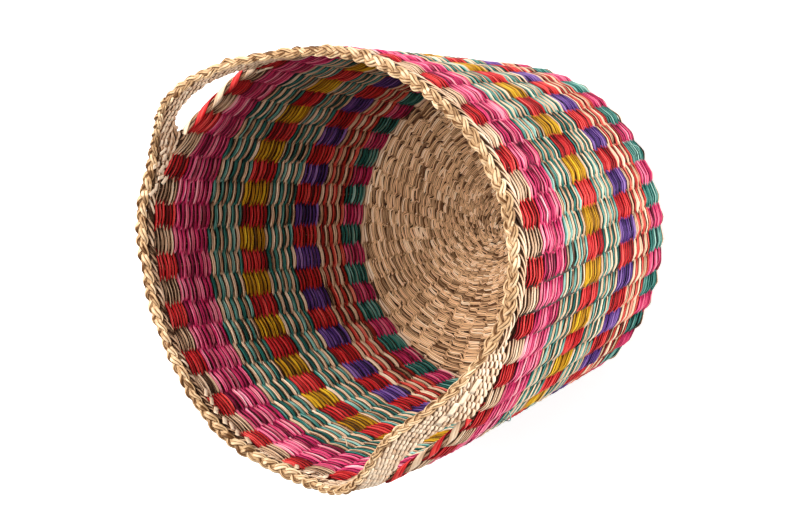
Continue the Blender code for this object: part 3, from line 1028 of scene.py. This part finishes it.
def add_panel_straw(straws, draw, loop, middle, row, facing):
    """A short slanted straw on one face of a loop, left out where the hand hole is."""
    half = draw.uniform(*PANEL_REACHES) * PANEL_CELL
    angle = middle + draw.normal(0, PANEL_STRAY) * PANEL_CELL + PANEL_SHARES * half
    down = (row + 0.5 + draw.normal(0, PANEL_ROW_STRAY)) * PANEL_PITCH
    slant = PANEL_SLANT + draw.normal(0, PANEL_SLANT_SPREAD)
    slope = facing * math.tan(slant) * half * RIM_RADIUS
    height = plait_underside(middle) + PANEL_TOP - down + PANEL_SHARES * slope
    if np.any(height < hole_top(loop, angle) + PANEL_CLEARANCE):
        return
    tone = np.clip(draw.normal(PANEL_TONE, PANEL_TONE_SPREAD), *PANEL_TONE_LIMITS)
    level = draw.uniform(*PANEL_LEVELS) * MM
    add_leaf(straws, angle, height, level, facing, draw.uniform(*PANEL_HALF_WIDTHS) * MM, tone)


def add_panel(straws, loop):
    """Short slanted straws on both faces of a loop, over a dark inner layer."""
    draw = np.random.default_rng(PANEL_SEED + len(loop.name))
    first, last = loop.at - loop.before / RIM_RADIUS, loop.at + loop.after / RIM_RADIUS
    add_layer(straws, loop, first, last)
    for column in range(int((last - first) / PANEL_CELL)):
        middle = first + (column + 0.5) * PANEL_CELL
        for row in range(column % 2, PANEL_ROWS, 2):
            for facing in (1, -1):
                add_panel_straw(straws, draw, loop, middle, row, facing)


def add_hole_edge(straws, loop):
    """The cord that binds the upper edge of the hand hole."""
    turn = CORD_STRETCH * math.pi
    angle = loop.hole_at + (loop.hole_half + CORD_ASIDE) * np.cos(turn) / RIM_RADIUS
    foot = ROPE_HEIGHT * np.clip(CORD_STEEPNESS * np.sin(turn), 0, 1)
    arch = (loop.hole_height + CORD_ABOVE) * np.sin(turn) ** CORD_ARCH_POWER
    point, normal, _ = surface(angle, WALL_TOP + foot + arch)
    centre = point + normal * (CORD_WAVES * CORD_WAVE)[:, None]
    tone = CORD_TONE + CORD_TONE_WAVE * CORD_WAVES
    straws.add(centre, normal, CORD_HALF_WIDTH, CORD_THICKNESS, tone)


def build_wraps(loop, parity, dye):
    """One colour of the straws that wind along the lower edge of the hand hole."""
    wraps = Straws()
    half = (loop.hole_half + WRAP_PAST_HOLE) / RIM_RADIUS
    angle = loop.hole_at + np.linspace(-half, half, WRAP_POINTS)
    swing = math.pi * ((angle - stake_angle(0, WALL_TOP)) / COLUMN - parity)
    point, normal, up = surface(angle, WALL_TOP + loop.wrap_level)
    for straw, tone in enumerate(WRAP_TONES):
        phase = swing + WRAP_PHASE * (straw - 1)
        out, above = np.cos(phase)[:, None], np.sin(phase)[:, None]
        centre = point + normal * (WRAP_SWING * out) + up * (WRAP_RISE * above)
        wraps.add(centre, normal * out + up * above, WRAP_HALF_WIDTH, WRAP_THICKNESS, tone)
    if dye == "natural":
        wraps.add(point, normal, WRAP_CORE_HALF_WIDTH, WRAP_CORE_THICKNESS, WRAP_CORE_TONE)
    make_piece(f"hole_wrap_{loop.name}_{dye}", wraps, dye, [f"hole_rope_{loop.name}"])


def build_loop(loop):
    straws = Straws()
    add_panel(straws, loop)
    add_hole_edge(straws, loop)
    make_piece(f"loop_weave_{loop.name}", straws, "natural", [f"loop_panel_{loop.name}"])
    build_wraps(loop, 1, "red")
    build_wraps(loop, 0, "natural")


def build_strays():
    """Loose ends of straw that stand out of the weave."""
    draw = np.random.default_rng(STRAY_SEED)
    gathered = {"teal": Straws(), "natural": Straws()}
    for dye, direction, height, side in STRAYS:
        angle = direction * DEGREE + STRAY_REACH * STRAY_SHARES
        point, normal, _ = surface(angle, height * MM + STRAY_CLIMB * STRAY_SHARES)
        out = side * (STRAY_LEVEL + STRAY_ARCH * np.sin(math.pi * STRAY_SHARES)) * MM
        centre = point + normal * out[:, None]
        tone = draw.uniform(*STRAY_TONES)
        gathered[dye].add(centre, normal * side, STRAY_HALF_WIDTH, STRAY_THICKNESS, tone)
    for dye, straws in gathered.items():
        make_piece(f"stray_{dye}", straws, dye, [])


def white_when_seen(tree, dull, bright):
    """Mixes a shader that lights the object with one that only the camera and mirrors see."""
    seen = tree.nodes.new("ShaderNodeLightPath").outputs
    mirrored = maths(tree, "MAXIMUM", seen["Is Glossy Ray"], seen["Is Transmission Ray"])
    mix = tree.nodes.new("ShaderNodeMixShader")
    tree.links.new(maths(tree, "MAXIMUM", seen["Is Camera Ray"], mirrored), mix.inputs[0])
    tree.links.new(dull, mix.inputs[1])
    tree.links.new(bright, mix.inputs[2])
    return mix.outputs[0]


def build_world():
    world = bpy.data.worlds.new("studio")
    bpy.context.scene.world = world
    world.use_nodes = True
    tree = world.node_tree
    fill = tree.nodes["Background"]
    fill.inputs["Color"].default_value = FILL_COLOUR
    fill.inputs["Strength"].default_value = FILL_STRENGTH
    white = tree.nodes.new("ShaderNodeBackground")
    white.inputs["Color"].default_value = WHITE
    white.inputs["Strength"].default_value = 1
    mixed = white_when_seen(tree, fill.outputs[0], white.outputs[0])
    tree.links.new(mixed, tree.nodes["World Output"].inputs["Surface"])


def paper_material():
    paper = bpy.data.materials.new("paper")
    paper.use_nodes = True
    tree = paper.node_tree
    tree.nodes.remove(tree.nodes["Principled BSDF"])
    matt = tree.nodes.new("ShaderNodeBsdfDiffuse")
    matt.inputs["Color"].default_value = PAPER_COLOUR
    glow = tree.nodes.new("ShaderNodeEmission")
    glow.inputs["Strength"].default_value = PAPER_GLOW
    both = tree.nodes.new("ShaderNodeAddShader")
    tree.links.new(matt.outputs[0], both.inputs[0])
    tree.links.new(glow.outputs[0], both.inputs[1])
    mixed = white_when_seen(tree, matt.outputs[0], both.outputs[0])
    tree.links.new(mixed, tree.nodes["Material Output"].inputs["Surface"])
    return paper


def build_floor():
    mesh = bpy.data.meshes.new("floor")
    corners = [(x * FLOOR_HALF, y * FLOOR_HALF, 0) for x, y in ((-1, -1), (1, -1), (1, 1), (-1, 1))]
    mesh.from_pydata(corners, [], [(0, 1, 2, 3)])
    mesh.materials.append(paper_material())
    floor = place("floor", mesh)


def add_lamp(name, direction, distance, size, power):
    light = bpy.data.lights.new(name, "AREA")
    light.shape = "SQUARE"
    light.size = size
    light.energy = power
    lamp = place(name, light)
    lamp.location = LAMP_TARGET + Vector(direction).normalized() * distance
    lamp.rotation_euler = (lamp.location - LAMP_TARGET).to_track_quat("Z", "Y").to_euler()


def build_camera():
    camera = bpy.data.cameras.new("camera")
    camera.lens = CAMERA_LENS
    camera.sensor_width = CAMERA_SENSOR
    forward = Vector(CAMERA_FORWARD).normalized()
    up = Vector(CAMERA_RIGHT).normalized().cross(forward).normalized()
    turn = Matrix((forward.cross(up), up, -forward)).transposed().to_4x4()
    seen = place("camera", camera)
    seen.matrix_world = Matrix.Translation(CAMERA_PLACE) @ turn
    bpy.context.scene.camera = seen


build_camera()
build_world()
build_floor()
for lamp_row in LAMPS:
    add_lamp(*lamp_row)
build_wall()
build_base()
build_stakes()
build_plait()
build_borders()
for hand_loop in LOOPS:
    build_loop(hand_loop)
build_strays()

bpy.context.scene.view_settings.view_transform = "Standard"
